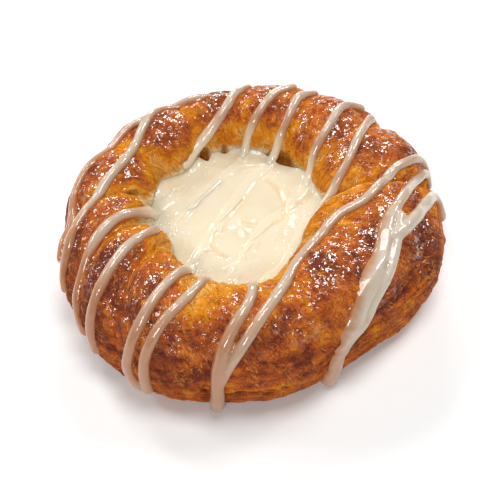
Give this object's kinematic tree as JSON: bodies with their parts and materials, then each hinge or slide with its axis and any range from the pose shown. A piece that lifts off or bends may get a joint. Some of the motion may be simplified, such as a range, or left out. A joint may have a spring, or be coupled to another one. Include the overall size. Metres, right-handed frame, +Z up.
{
  "type": "cheese danish",
  "caption": "Round laminated danish pastry with a cream cheese filling in its well and thick icing drizzled across the top.",
  "frame": {"origin": "on the surface the danish rests on, under the middle of its outline", "axes": "+Z up through the thickness; -Y towards the side that the front drip of icing hangs down; +X towards the wide strand of icing"},
  "size_m": [0.1143, 0.1094, 0.0337],
  "materials": {
    "baked_crust": "glazed golden brown crust with translucent off-white icing",
    "cream_cheese": "glossy pale cream"
  },
  "bodies": {
    "root": {"danish_pastry": "baked_crust", "cheese_filling": "cream_cheese"}
  },
  "joints": []
}
